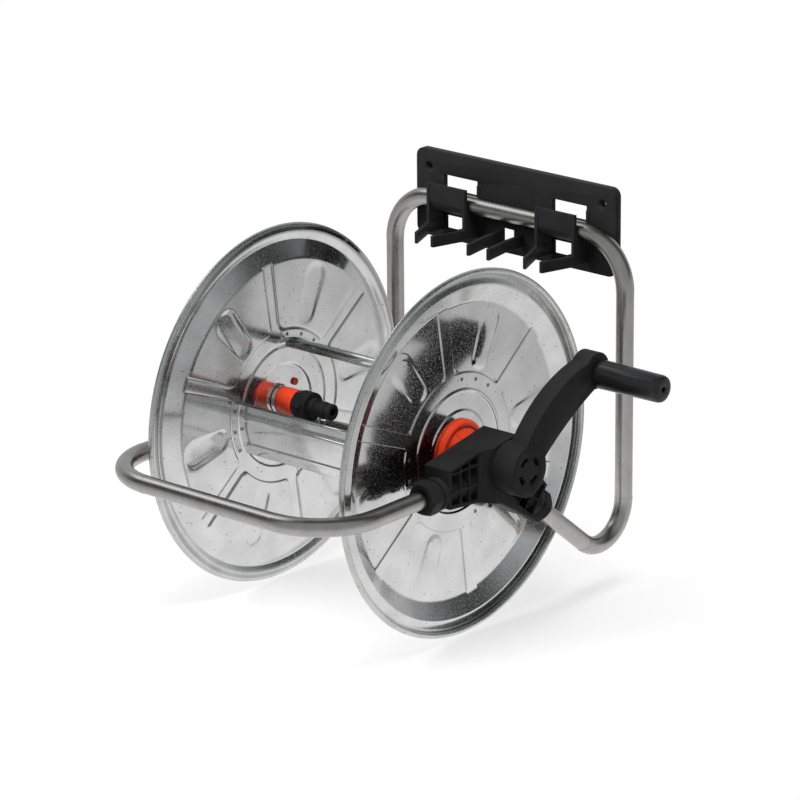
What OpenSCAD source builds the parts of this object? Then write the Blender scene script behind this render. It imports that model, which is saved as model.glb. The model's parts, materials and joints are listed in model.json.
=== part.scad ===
// Wall mounted hose reel: a wall plate with two hooks, a bent tube frame that hangs in them,
// and a crank driven drum of two pressed discs between two bearing blocks.
// Millimetres. Origin on the wall, midway between the two screw holes.
// +X to the crank side, +Y into the wall, +Z up.

/* [Wall plate] */
// Width of the wall plate
plate_w = 260; // [240:1:290]
// Height of the wall plate
plate_h = 92; // [86:1:104]
// Height of the plate's top edge above the screw line
plate_top = 18.5; // [16:0.5:24]
// How far the plate's front stands off the wall
plate_depth = 9; // [8:0.5:12]
// Wall thickness of the plate
plate_wall = 3; // [2:0.5:4]
// Rounding of the plate's corners
plate_corner_r = 9; // [4:1:12]
// Thickness of the stiffening ribs behind the plate
plate_rib = 2; // [1.5:0.5:3]
// Distance between the two wall screws
screw_spacing = 226; // [215:1:235]
// Diameter of the screw holes
screw_hole_d = 5.5; // [4:0.5:7]
// Diameter of the countersink
screw_head_d = 11; // [9:0.5:12]

/* [Hooks and prongs] */
// Distance between the middles of the two hooks
hook_spacing = 142; // [130:1:150]
// Width of a hook over its two side walls
hook_w = 51; // [46:1:56]
// Wall thickness of the hooks
hook_wall = 3.6; // [3:0.2:5]
// Height of the hook lip above the middle of the tube
lip_rise = 18; // [12:0.5:20]
// How far the prongs reach from the wall
prong_reach = 70; // [60:1:80]
// Height of a prong
prong_h = 12; // [9:0.5:14]
// Thickness of a prong
prong_t = 4; // [3:0.2:5]
// Height of the prongs' lower edge below the screw line
prong_drop = 62.5; // [60:0.5:66]
// Distance of the outer prongs' tips from the middle of their hook
outer_tip = 10.5; // [8:0.5:16]
// Distance between the middles of the two inner prongs
inner_gap = 26; // [22:1:30]
// Sideways place of the inner pair at the plate
inner_root = -3.5; // [-8:0.5:0]
// Sideways lean of all tips towards the crank side
tip_lean = 2; // [0:0.5:4]

/* [Tube frame] */
// Diameter of the frame tube
tube_d = 18; // [16:0.5:20]
// Wall thickness of the frame tube
tube_wall = 1.2; // [1:0.1:2]
// Width of the frame between tube middles
frame_w = 302; // [295:1:320]
// Distance of the rear tube's middle from the wall
tube_reach = 19.5; // [19:0.5:24]
// Depth of the top bar's middle below the screw line
bar_drop = 27; // [25:0.5:30]
// Height of the rear legs, from the top bar to the corner of the lower bend
leg_h = 354; // [340:1:370]
// Distance of the front bar's middle from the wall
front_reach = 470; // [460:1:500]
// Bend radius of the top corners
top_bend_r = 54; // [45:1:60]
// Bend radius of the lower corners
low_bend_r = 40; // [35:1:45]
// Bend radius of the front corners
front_bend_r = 68; // [50:1:75]

/* [Reel] */
// Distance of the axle from the wall
axle_reach = 237; // [232:1:250]
// Depth of the axle below the screw line
axle_drop = 199; // [190:1:210]
// Outside diameter of the two discs
disc_d = 370; // [350:1:376]
// Distance between the rolled rims of the two discs
rim_gap = 248; // [236:1:250]
// Thickness of the pressed sheet
sheet = 1; // [0.8:0.1:1.4]
// Radius of the rolled rim
bead_r = 3; // [2.5:0.1:4]
// Height of the flat rim above the middle of a disc
rim_rise = 7; // [5:0.5:9]
// Depth of the pressed panels between the spokes
panel_depth = 1.5; // [1:0.5:3]
// Width of the six spokes
spoke_w = 14.5; // [12:0.5:17]
// Turn of the first spoke from level
spoke_turn = 38; // [0:1:60]
// Radius of the round middle area of a disc
middle_r = 80; // [78:1:84]
// Outside radius of the drum staves
stave_r = 68; // [66:1:70]
// Half of the arc that one stave spans, in degrees
stave_half = 23; // [18:1:26]
// Radius of the rolled edges of a stave
stave_bead_r = 2.4; // [2:0.1:3]

/* [Bearing blocks] */
// Width of a bearing block's arms
block_w = 32; // [30:1:34]
// Extra width of the block at the axle
boss_rise = 9; // [6:0.5:11]
// Length of the front arm from the axle
front_arm = 74; // [70:1:80]
// Length of the rear arm from the axle
rear_arm = 81; // [76:1:90]
// Depth of the front tube below the axle
front_drop = 14; // [12:0.5:16]
// Depth of the rear tube's line below the axle
rear_drop = 6; // [4:0.5:8]
// Wall thickness of a bearing block
block_wall = 3; // [2.5:0.5:4]
// Thickness of the ribs in the block's open side
block_rib = 1.8; // [1.4:0.2:2.4]
// Length of the threaded collar on each arm
collar_len = 7; // [5:0.5:9]
// Diameter of the threaded collar
collar_d = 33; // [30:0.5:35]
// Size of the clamp nuts across flats
nut_af = 31; // [28:0.5:34]
// Length of a clamp nut
nut_len = 17; // [14:0.5:20]

/* [Hubs and water fittings] */
// Diameter of the hub flanges outside the discs
flange_d = 68; // [64:1:76]
// Diameter of the journals that turn in the bearing blocks
journal_d = 22; // [20:0.5:24]
// Radial running clearance of the journals and the grip
run_gap = 0.05; // [0.02:0.01:0.1]
// Diameter of the water way
water_d = 11; // [9:0.5:12]
// Distance of the water outlet from the axle
outlet_r = 7.6; // [6:0.2:9]
// Turn of the water outlet from level
outlet_turn = 114; // [90:1:140]
// Diameter of the outlet body inside the drum
outlet_d = 27; // [24:0.5:28]
// Length of the outlet body inside the drum
outlet_len = 23.5; // [20:0.5:30]
// Size of the outlet nut across flats
outlet_nut_af = 27; // [24:0.5:29]
// Length of the outlet nut with its flange
outlet_nut_len = 19.5; // [16:0.5:24]
// Diameter of the nipples' shoulders
nipple_d = 18; // [16:0.1:18.5]
// Length of a nipple
nipple_len = 27; // [24:0.5:30]

/* [Crank] */
// Distance from the axle to the grip
crank_r = 130; // [115:1:140]
// Rise of the crank above level
crank_turn = 33.5; // [0:0.5:360]
// Diameter of the crank's round hub
crank_hub_d = 52; // [48:1:56]
// Depth of the crank's round hub
crank_hub_len = 27; // [25:0.5:29]
// Depth of the crank's arm
crank_arm_t = 20; // [16:0.5:22]
// Height of the bowed edge over the line from axle to grip
crank_bow = 33; // [30:0.5:36]
// Radius of the crank's rounded end
crank_end_r = 18.5; // [16:0.5:20]
// Diameter of the grip at the crank
grip_d = 29; // [25:0.5:31]
// Diameter of the grip at its free end
grip_end_d = 27.5; // [23:0.5:29]
// Length of the grip
grip_len = 77; // [70:1:90]
// Diameter of the steel pin that carries the grip
pin_d = 10; // [8:0.5:11]

/* [Hidden] */
$fn = 96;
// Overlap that lets a cut pass right through a face
eps = 0.1;
// Clearance between the tube and the hooks
hook_gap = 0.35;
// Clearance between faces that pass each other
face_gap = 0.5;
tube_r = tube_d / 2;
frame_x = frame_w / 2;
hook_x = hook_spacing / 2;
hook_inner_w = hook_w - 2 * hook_wall;
trough_r = tube_r + hook_gap;
hook_front = tube_reach + trough_r + hook_wall;
side_front = hook_front + 1;
lip_top = lip_rise - bar_drop;
window_low = tube_r + 2;
low_window_h = 14;
low_window_side = 6;
boss_d = screw_head_d + 2 * plate_wall;
countersink_h = (screw_head_d - screw_hole_d) / 2;
vertex_z = -bar_drop - leg_h;
rear_rise = atan2(-axle_drop - rear_drop - vertex_z, axle_reach - tube_reach);
rear_run = (axle_reach - tube_reach) / cos(rear_rise);
low_turn = 90 + rear_rise;
low_tangent = low_bend_r * tan(low_turn / 2);
tube_stop = 26;
bend_lap = 0.5;
bend_swell = 0.2;
front_z = -axle_drop - front_drop;
disc_r = disc_d / 2;
rim_x = rim_gap / 2;
bead_lift = 2;
web_x = rim_x - bead_lift - rim_rise;
cone_r = disc_r - 35;
rim_r = disc_r - 18;
spoke_end = cone_r + panel_depth * (rim_r - cone_r) / (rim_rise + panel_depth);
spoke_len = spoke_end - middle_r + bead_r;
seat_r = 42;
ring_r = 63;
ring_h = 1.2;
disc_bore_r = 13;
spoke_count = 6;
stave_turn = spoke_turn + 180 / spoke_count;
peg_r = 27;
peg_turn = 47;
peg_d = 7.5;
clinch_count = 3;
clinch_step = 17;
clinch_d = 4;
clinch_r = stave_r + 5.5;
stave_flange_r = stave_r + 11;
drop_in_r = 12;
drop_out_r = 15;
drop_in = middle_r + 16;
drop_out = cone_r - 17;
drop_points = 16;
block_in = frame_x - block_w / 2;
block_out = frame_x + block_w / 2;
boss_out = block_out + boss_rise;
front_top = 12;
front_low = -27.5;
apex_y = 15;
apex_z = 28;
neck_y = -30;
neck_low = -32;
vee_y = -7;
vee_z = -37.5;
rear_half = 18.5;
boss_start = 14;
socket_d = tube_d + 9;
hub_face = block_in - face_gap;
crank_in = boss_out + 2;
crank_out = crank_in + crank_hub_len;
crank_step = 1;
arm_in = crank_out - crank_step - crank_arm_t;
flange_ribs = 6;
flange_rib_turn = 54;
flange_groove = 1.5;
drive_w = 15;
drive_len = 22;
bow_r = 155;
belly_r = 346;
belly = -5.5;
slot_r = 13;
slot_w = 5.5;
slot_arc = 48;
slot_depth = 6;
grip_in = crank_out + 1.5;
grip_y = crank_r * cos(crank_turn);
grip_z = crank_r * sin(crank_turn);
grip_hole_d = 6;
grip_end_wall = 6;
seal_d = 2;
swivel_len = 24;
swivel_d = 32;
swivel_in = boss_out + face_gap + 1;
journal_end = swivel_in + 14;
seal_z = 3 * seal_d - journal_end;
water_r = water_d / 2;
outlet_out = web_x - sheet - outlet_len;
clip_w = 4;
clip_d = outlet_d + 3 * sheet;
nut_out = outlet_out - outlet_nut_len;

black = [0.07, 0.07, 0.075];
steel = [0.72, 0.73, 0.74];
zinc = [0.8, 0.81, 0.82];
orange = [0.86, 0.2, 0.05];

// Moves a shape drawn round +Z onto the axle line, so that its x is the row's Y, its y is Z and its z is X
module on_axle() {
    translate([0, -axle_reach, -axle_drop])
        rotate([90, 0, 90])
            children();
}

// Gives a flat shape drawn in the row's Y and Z its width along X
module across(from, to) {
    translate([from, 0, 0])
        rotate([90, 0, 90])
            linear_extrude(to - from)
                children();
}

// Gives a flat shape drawn in X and Z its depth from one distance off the wall to another
module off_wall(from, to) {
    translate([0, -from, 0])
        rotate([90, 0, 0])
            linear_extrude(to - from)
                children();
}

module rounded_rect(w, h, r) {
    square([w - 2 * r, h], center = true);
    square([w, h - 2 * r], center = true);
    for (sx = [-1, 1], sz = [-1, 1])
        translate([sx * (w / 2 - r), sz * (h / 2 - r)])
            circle(r);
}

// Round bar with a hole through it, standing on +Z
module pipe(d_out, d_in, length) {
    difference() {
        cylinder(d = d_out, h = length);
        translate([0, 0, -eps])
            cylinder(d = d_in, h = length + 2 * eps);
    }
}

// Hexagon nut with both ends chamfered, standing on +Z
module hex_nut(af, length, hole_d) {
    corner_d = af / cos(30);
    bevel = (corner_d - af) / 2 + 1;
    difference() {
        intersection() {
            cylinder(d = corner_d, h = length, $fn = 6);
            rotate_extrude()
                polygon([
                    [0, 0], [corner_d / 2 - bevel, 0], [corner_d / 2, bevel],
                    [corner_d / 2, length - bevel], [corner_d / 2 - bevel, length], [0, length]]);
        }
        translate([0, 0, -eps])
            cylinder(d = hole_d, h = length + 2 * eps);
    }
}

// Wall plate: shell open to the wall, with the windows that the moulding tool leaves by the hooks
module plate_outline() {
    translate([0, plate_top - plate_h / 2])
        rounded_rect(plate_w, plate_h, plate_corner_r);
}

module plate_inside() {
    translate([0, plate_top - plate_h / 2])
        rounded_rect(plate_w - 2 * plate_wall, plate_h - 2 * plate_wall, plate_corner_r - plate_wall);
}

module windows() {
    low_window_z = -prong_drop + 1;
    for (side = [-1, 1]) {
        translate([side * hook_x - hook_inner_w / 2, -bar_drop + window_low - prong_t])
            square([hook_inner_w, lip_rise - window_low + 2 * prong_t]);
        translate([side * hook_x - hook_inner_w / 2 + low_window_side / 2, low_window_z])
            square([hook_inner_w - low_window_side, low_window_h]);
    }
    translate([inner_root - inner_gap / 2 + prong_t / 2, low_window_z])
        square([inner_gap - prong_t, low_window_h]);
}

module plate() {
    difference() {
        off_wall(0, plate_depth)
            plate_outline();
        off_wall(-eps, plate_depth - plate_wall)
            plate_inside();
        off_wall(-eps, plate_depth + eps)
            windows();
    }
    rib_z = plate_top - plate_h + plate_wall;
    for (x = [-hook_x - hook_w / 2, -hook_x + hook_w / 2, 0, hook_x - hook_w / 2, hook_x + hook_w / 2])
        translate([x - plate_rib / 2, -plate_depth + eps, rib_z - eps])
            cube([plate_rib, plate_depth - 2 * eps, plate_h - 2 * plate_wall + 2 * eps]);
    for (side = [-1, 1])
        translate([side * screw_spacing / 2, 0, 0])
            rotate([90, 0, 0])
                cylinder(d = boss_d, h = plate_depth - eps);
}

module screw_cuts() {
    for (side = [-1, 1])
        translate([side * screw_spacing / 2, 0, 0])
            rotate([90, 0, 0]) {
                translate([0, 0, -eps])
                    cylinder(d = screw_hole_d, h = plate_depth + 2 * eps);
                translate([0, 0, plate_depth - countersink_h])
                    cylinder(d1 = screw_hole_d, d2 = screw_head_d + 2 * eps, h = countersink_h + eps);
            }
}

// Path that the tube takes into the hook, from the trough up and out
module tube_path() {
    translate([-tube_reach, -bar_drop])
        circle(trough_r);
    translate([-tube_reach - trough_r, -bar_drop])
        square([2 * trough_r, lip_rise + eps]);
}

// Hook: a J that carries the top bar, between two side walls that run down into the prongs
module hook_side() {
    difference() {
        translate([-side_front, -prong_drop])
            square([side_front - plate_depth + plate_wall / 2, prong_drop + lip_top]);
        tube_path();
    }
}

module hook_shell() {
    difference() {
        union() {
            translate([-tube_reach, -bar_drop])
                circle(trough_r + hook_wall);
            translate([-hook_front, -bar_drop])
                square([hook_wall + trough_r, lip_rise]);
        }
        tube_path();
        translate([-plate_depth + plate_wall / 2, -prong_drop])
            square([plate_depth + tube_d, prong_drop + tube_d]);
        translate([-tube_reach, -bar_drop])
            square([tube_reach, prong_drop]);
    }
}

module hook() {
    across(-hook_w / 2, hook_w / 2)
        hook_shell();
    for (side = [-1, 1])
        translate([side * (hook_w - hook_wall) / 2, 0, 0])
            across(-hook_wall / 2, hook_wall / 2)
                hook_side();
}

// Prong: straight out of the plate as far as the hooks' front, then bent to its tip
module prong(root, tip) {
    translate([0, 0, -prong_drop])
        linear_extrude(prong_h)
            polygon([
                [root - prong_t / 2, -plate_depth + plate_wall / 2], [root - prong_t / 2, -side_front],
                [tip - prong_t / 2, -prong_reach], [tip + prong_t / 2, -prong_reach],
                [root + prong_t / 2, -side_front], [root + prong_t / 2, -plate_depth + plate_wall / 2]]);
}

module wall_bracket() {
    outer_root = (hook_w - prong_t) / 2;
    color(black)
        difference() {
            union() {
                plate();
                for (side = [-1, 1]) {
                    translate([side * hook_x, 0, 0])
                        hook();
                    prong(side * hook_x - outer_root, side * hook_x - outer_tip + tip_lean);
                    prong(side * hook_x + outer_root, side * hook_x + outer_tip + tip_lean);
                }
                prong(inner_root - inner_gap / 2, tip_lean - inner_gap / 2);
                prong(inner_root + inner_gap / 2, tip_lean + inner_gap / 2);
            }
            screw_cuts();
        }
}

// Frame: bent steel tube. The bends swell a little, so that each straight length laps into them
module straight(length) {
    translate([0, 0, -bend_lap])
        pipe(tube_d, tube_d - 2 * tube_wall, length + 2 * bend_lap);
}

module bend(radius, turn) {
    rotate_extrude(angle = turn)
        translate([radius, 0])
            difference() {
                circle(tube_r + bend_swell);
                circle(tube_r - tube_wall - bend_swell);
            }
}

module rear_side() {
    leg_top = -bar_drop - top_bend_r;
    leg_low = vertex_z + low_tangent;
    translate([frame_x - top_bend_r, -tube_reach, leg_top])
        rotate([90, 0, 0])
            bend(top_bend_r, 90);
    translate([frame_x, -tube_reach, leg_low])
        straight(leg_top - leg_low);
    translate([frame_x, -tube_reach - low_bend_r, leg_low])
        rotate([90, 0, 90])
            rotate([0, 0, -low_turn])
                bend(low_bend_r, low_turn);
    translate([frame_x, -tube_reach, vertex_z])
        rotate([90 - rear_rise, 0, 0])
            translate([0, 0, low_tangent])
                straight(rear_run - low_tangent - tube_stop);
}

module rear_tube() {
    bar_half = frame_x - top_bend_r;
    color(steel) {
        translate([-bar_half, -tube_reach, -bar_drop])
            rotate([0, 90, 0])
                straight(2 * bar_half);
        rear_side();
        mirror([1, 0, 0])
            rear_side();
    }
}

module front_side() {
    arm_start = axle_reach + tube_stop;
    translate([frame_x, -arm_start, front_z])
        rotate([90, 0, 0])
            straight(front_reach - front_bend_r - arm_start);
    translate([frame_x - front_bend_r, -front_reach + front_bend_r, front_z])
        rotate([0, 0, -90])
            bend(front_bend_r, 90);
}

module front_tube() {
    bar_half = frame_x - front_bend_r;
    color(steel) {
        translate([-bar_half, -front_reach, front_z])
            rotate([0, 90, 0])
                straight(2 * bar_half);
        front_side();
        mirror([1, 0, 0])
            front_side();
    }
}

// Bearing block: a chevron with a level front arm and a rear arm that falls towards the wall.
// Its modules are drawn round the axle, with x from the middle of the machine
module at_block() {
    translate([0, -axle_reach, -axle_drop])
        children();
}

module along_front(start) {
    translate([frame_x, -start, -front_drop])
        rotate([90, 0, 0])
            children();
}

module along_rear(start) {
    translate([frame_x, 0, -rear_drop])
        rotate([-rear_rise, 0, 0])
            translate([0, start, 0])
                rotate([-90, 0, 0])
                    children();
}

function rear_point(along, up) = [
    along * cos(rear_rise) + up * sin(rear_rise),
    -rear_drop - along * sin(rear_rise) + up * cos(rear_rise)];

module block_side() {
    polygon([
        [-front_arm, front_low], [-front_arm, front_top], [apex_y, apex_z], rear_point(rear_arm, rear_half),
        rear_point(rear_arm, -rear_half), [vee_y, vee_z], [neck_y, neck_low]]);
}

module block_plan() {
    far = rear_arm + front_arm;
    polygon([
        [block_in, -far], [block_out, -far], [block_out, neck_y], [boss_out, neck_y + boss_start],
        [boss_out, -neck_y - boss_start], [block_out, -neck_y], [block_out, far], [block_in, far]]);
}

module front_pocket() {
    pocket_end = neck_y - block_wall / 2;
    slope = (apex_z - front_top) / (apex_y + front_arm);
    top_in = front_top - block_wall;
    rib_pitch = (front_arm + pocket_end - block_wall) / 3;
    difference() {
        across(block_in + block_wall, block_out + eps)
            polygon([
                [-front_arm + block_wall, front_low + block_wall], [-front_arm + block_wall, top_in],
                [pocket_end, top_in + slope * (pocket_end + front_arm)],
                [pocket_end, neck_low + block_wall]]);
        along_front(-eps)
            cylinder(d = socket_d, h = front_arm);
        for (bay = [1, 2])
            translate([block_in, pocket_end - bay * rib_pitch, front_low - block_wall])
                cube([block_w, block_rib, apex_z - front_low]);
        for (z = [-front_drop, (front_top + front_low) / 2 + front_drop])
            translate([block_in, -front_arm, z])
                cube([block_w, front_arm, block_rib]);
    }
}

module rear_pocket() {
    pocket_start = boss_rise + boss_start;
    pocket_len = rear_arm - block_wall - pocket_start;
    rib_pitch = pocket_len / 4;
    half = rear_half - block_wall;
    difference() {
        along_rear(pocket_start)
            translate([block_wall - block_w / 2, -half, 0])
                cube([block_w + boss_rise, 2 * half, pocket_len]);
        along_rear(0)
            cylinder(d = socket_d, h = rear_arm);
        for (bay = [1:3])
            along_rear(pocket_start + bay * rib_pitch)
                translate([-block_w, -block_w, 0])
                    cube([2 * block_w, 2 * block_w, block_rib]);
        along_rear(0)
            translate([0, -block_rib / 2, 0])
                cube([block_w, block_rib, rear_arm]);
    }
}

module block() {
    at_block()
        difference() {
            union() {
                difference() {
                    intersection() {
                        across(block_in, boss_out)
                            block_side();
                        translate([0, 0, -frame_x])
                            linear_extrude(frame_w)
                                block_plan();
                    }
                    front_pocket();
                    rear_pocket();
                }
                along_front(front_arm - eps)
                    cylinder(d = collar_d, h = collar_len + eps);
                along_rear(rear_arm - eps)
                    cylinder(d = collar_d, h = collar_len + eps);
            }
            along_front(tube_stop - bend_lap)
                cylinder(r = tube_r, h = front_arm);
            along_rear(tube_stop - bend_lap)
                cylinder(r = tube_r, h = rear_arm);
            across(block_in - eps, boss_out + eps)
                circle(journal_d / 2 + run_gap);
        }
}

module block_right() {
    color(black)
        block();
}

module block_left() {
    color(black)
        mirror([1, 0, 0])
            block();
}

module clamp_nuts() {
    at_block() {
        along_front(front_arm + collar_len)
            hex_nut(nut_af, nut_len, tube_d);
        along_rear(rear_arm + collar_len)
            hex_nut(nut_af, nut_len, tube_d);
    }
}

module clamp_nuts_right() {
    color(black)
        clamp_nuts();
}

module clamp_nuts_left() {
    color(black)
        mirror([1, 0, 0])
            clamp_nuts();
}

// Disc: one pressed sheet. The profile runs from the bore over the raised seat and ring, down into the
// panels, up the cone and over the flat rim to the rolled edge
module disc_profile(bore_r) {
    slope_w = 1.5;
    rim_out = disc_r - bead_r;
    front = [
        [bore_r, ring_h], [seat_r, ring_h], [seat_r + slope_w, 0], [ring_r - 2 * slope_w, 0],
        [ring_r - slope_w, ring_h], [ring_r, ring_h], [ring_r + slope_w, 0], [middle_r - slope_w, 0],
        [middle_r + slope_w, -panel_depth], [cone_r, -panel_depth], [rim_r, rim_rise], [rim_out, rim_rise]];
    last = len(front) - 1;
    back = [for (i = [0:last]) [front[last - i][0], front[last - i][1] - sheet]];
    polygon(concat(front, back));
    translate([rim_out, rim_rise + bead_lift])
        circle(bead_r);
}

// Outline of the drop shaped boss in each panel, from its narrow inner end to its wide outer end
function drop_outline(shrink) = let (
    r_in = drop_in_r - shrink,
    r_out = drop_out_r - shrink,
    lean = asin((r_out - r_in) / (drop_out - drop_in)),
    outer = [for (i = [0:drop_points])
        let (a = (90 + lean) * (2 * i / drop_points - 1)) [drop_out + r_out * cos(a), r_out * sin(a)]],
    inner = [for (i = [0:drop_points])
        let (a = 90 + lean + (180 - 2 * lean) * i / drop_points) [drop_in + r_in * cos(a), r_in * sin(a)]])
    concat(outer, inner);

module each_spoke(offset_turn) {
    for (i = [0:spoke_count - 1])
        rotate([0, 0, spoke_turn + offset_turn + i * 360 / spoke_count])
            children();
}

// Places of the pegs that turn a disc with its hub
module each_peg() {
    for (third = [0, 2])
        rotate([0, 0, peg_turn + third * 120])
            translate([peg_r, 0, 0])
                children();
}

module disc_cuts() {
    deep = panel_depth + 2 * sheet;
    each_spoke(0)
        translate([middle_r - bead_r, sheet - spoke_w / 2, -sheet - deep])
            cube([spoke_len, spoke_w - 2 * sheet, deep]);
    each_spoke(180 / spoke_count)
        translate([0, 0, -sheet - deep])
            linear_extrude(deep)
                polygon(drop_outline(sheet));
    each_peg()
        translate([0, 0, -sheet - eps])
            cylinder(d = peg_d, h = sheet + ring_h + 2 * eps);
}

// Round marks where a disc is clinched to the end of a stave
module clinch_row() {
    for (i = [0:clinch_count - 1])
        rotate([0, 0, (i - (clinch_count - 1) / 2) * clinch_step])
            translate([clinch_r, 0, -sheet / 2])
                cylinder(d = clinch_d, h = sheet);
}

module disc(bore_r) {
    on_axle()
        translate([0, 0, web_x])
            difference() {
                union() {
                    rotate_extrude()
                        disc_profile(bore_r);
                    each_spoke(0)
                        translate([middle_r - bead_r, -spoke_w / 2, -panel_depth - sheet / 2])
                            cube([spoke_len + sheet / 2, spoke_w, panel_depth + sheet / 2]);
                    each_spoke(180 / spoke_count)
                        translate([0, 0, -panel_depth - sheet / 2])
                            linear_extrude(panel_depth + sheet / 2)
                                polygon(drop_outline(0));
                    for (third = [0:2])
                        rotate([0, 0, stave_turn + third * 120])
                            clinch_row();
                }
                disc_cuts();
            }
}

module disc_right() {
    color(zinc)
        disc(disc_bore_r);
}

// Moves a shape drawn round +Z onto the line of the water outlet
module at_outlet() {
    on_axle()
        rotate([0, 0, outlet_turn])
            translate([outlet_r, 0, 0])
                children();
}

module disc_left() {
    color(zinc)
        difference() {
            mirror([1, 0, 0])
                disc(0);
            at_outlet()
                translate([0, 0, -rim_x])
                    cylinder(d = outlet_d, h = rim_x);
        }
}

// Stave: curved sheet with rolled edges, its ends turned out against the discs
module stave_wedge() {
    reach = 2 * stave_flange_r;
    polygon([[0, 0], [reach, -reach * tan(stave_half)], [reach, reach * tan(stave_half)]]);
}

module stave_arc(r_out) {
    intersection() {
        difference() {
            circle(r_out);
            circle(stave_r - sheet);
        }
        stave_wedge();
    }
}

module stave_section() {
    stave_arc(stave_r);
    for (side = [-1, 1])
        rotate(side * stave_half)
            translate([stave_r - stave_bead_r, 0])
                circle(stave_bead_r);
}

module stave(third) {
    half_len = web_x - sheet;
    on_axle()
        rotate([0, 0, stave_turn + third * 120])
            union() {
                translate([0, 0, -half_len])
                    linear_extrude(2 * half_len)
                        stave_section();
                for (z = [-half_len, half_len - sheet])
                    translate([0, 0, z])
                        linear_extrude(sheet)
                            stave_arc(stave_flange_r);
            }
}

module stave_upper() {
    color(zinc)
        stave(0);
}

module stave_front() {
    color(zinc)
        stave(1);
}

module stave_rear() {
    color(zinc)
        stave(2);
}

// Hub flange outside a disc: raised rim, shallow groove, and a cone with fine ribs up to the thrust face at
// the bearing block. Its pegs pass through the disc
module hub_flange() {
    seat = web_x + ring_h;
    flange_r = flange_d / 2;
    thrust_r = journal_d / 2 + block_wall;
    rise = hub_face - seat;
    groove_r = flange_r - 2 * block_wall - flange_groove;
    groove_z = 2 * block_wall - flange_groove;
    neck_r = thrust_r + block_wall;
    neck_z = rise - 2 * block_wall;
    rib_w = block_rib / 2;
    on_axle() {
        for (i = [0:flange_ribs - 1])
            rotate([0, 0, flange_rib_turn + i * 360 / flange_ribs])
                translate([0, rib_w / 2, seat])
                    rotate([90, 0, 0])
                        linear_extrude(rib_w)
                            polygon([
                                [thrust_r, eps], [groove_r + eps, eps], [groove_r + eps, groove_z + rib_w],
                                [neck_r, neck_z + rib_w], [thrust_r, neck_z]]);
        translate([0, 0, seat])
            rotate_extrude()
                polygon([
                    [0, 0], [flange_r, 0], [flange_r, block_wall], [flange_r - block_wall, 2 * block_wall],
                    [flange_r - 2 * block_wall, 2 * block_wall], [groove_r, groove_z], [neck_r, neck_z],
                    [thrust_r, rise], [0, rise]]);
        translate([0, 0, web_x - 2 * sheet])
            each_peg()
                cylinder(d = peg_d, h = seat - web_x + 3 * sheet);
    }
}

module drive_hub() {
    color(orange)
        union() {
            hub_flange();
            on_axle() {
                translate([0, 0, web_x - 2 * sheet])
                    cylinder(r = disc_bore_r, h = ring_h + 3 * sheet);
                translate([0, 0, hub_face - eps])
                    cylinder(d = journal_d, h = crank_in - hub_face + eps);
                translate([-drive_w / 2, -drive_w / 2, crank_in - eps])
                    cube([drive_w, drive_w, drive_len + eps]);
            }
        }
}

// Water way in the hub: along the journal, across inside the flange and on to the outlet
module water_way() {
    bend_z = -web_x - ring_h - water_d / 2 - block_wall;
    translate([0, 0, -journal_end - eps])
        cylinder(d = water_d, h = journal_end + bend_z + water_d / 2 + eps);
    translate([0, 0, bend_z])
        rotate([0, 90, 0])
            cylinder(d = water_d - eps, h = outlet_r);
    translate([outlet_r, 0, bend_z])
        cylinder(d = water_d, h = -bend_z);
}

module water_hub() {
    color(orange)
        difference() {
            mirror([1, 0, 0]) {
                hub_flange();
                on_axle()
                    translate([0, 0, hub_face - eps])
                        cylinder(d = journal_d, h = journal_end - hub_face + eps);
            }
            on_axle() {
                rotate([0, 0, outlet_turn])
                    water_way();
                translate([0, 0, seal_z - seal_d / 2 - eps])
                    pipe(journal_d + 2 * eps, journal_d - 2 * seal_d - 2 * eps, seal_d + 2 * eps);
            }
        }
}

// Rubber ring that seals the turning journal in the still inlet
module journal_seal() {
    color(black)
        on_axle()
            translate([0, 0, seal_z])
                rotate_extrude()
                    translate([(journal_d - seal_d) / 2, 0])
                        circle(d = seal_d);
}

// Water outlet inside the drum: body through the disc, steel ring that holds it there, union nut and nipple
module outlet_body() {
    root = web_x + ring_h;
    color(orange)
        at_outlet()
            translate([0, 0, -root])
                difference() {
                    pipe(outlet_d, water_d, outlet_len + root - web_x + sheet);
                    translate([0, 0, root - web_x + sheet])
                        pipe(outlet_d + 2 * eps, outlet_d - 2 * sheet, clip_w);
                }
}

module outlet_clip() {
    color(zinc)
        at_outlet()
            translate([0, 0, sheet - web_x])
                pipe(clip_d, outlet_d - 2 * sheet, clip_w);
}

module outlet_nut() {
    flange_len = 3 * outlet_nut_len / 10;
    color(black)
        at_outlet()
            translate([0, 0, -outlet_out])
                union() {
                    hex_nut(outlet_nut_af, outlet_nut_len - flange_len + eps, water_d);
                    translate([0, 0, outlet_nut_len - flange_len])
                        pipe(outlet_nut_af + block_wall, water_d, flange_len);
                }
}

// Nipple of a quick connector: thread collar, neck, shoulder, groove for the catch and sealing nose
module nipple() {
    nose_r = nipple_d / 2 - 0.5;
    neck_r = nipple_d / 2 - 2;
    step = nipple_len / 10;
    rotate_extrude()
        polygon([
            [water_r, 0], [nipple_d / 2 + 1, 0], [nipple_d / 2 + 1, 2 * step], [neck_r, 2.4 * step],
            [neck_r, 4 * step], [nipple_d / 2, 4.6 * step], [nipple_d / 2, 6 * step], [nose_r, 6.4 * step],
            [nose_r, 7.2 * step], [nose_r - 1, 7.2 * step], [nose_r - 1, 8 * step], [nose_r, 8 * step],
            [nose_r, 9.6 * step], [nose_r - 1, 10 * step], [water_r - 1, 10 * step],
            [water_r - 1, 2 * step]]);
}

module outlet_nipple() {
    color(black)
        at_outlet()
            translate([0, 0, -nut_out])
                nipple();
}

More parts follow.
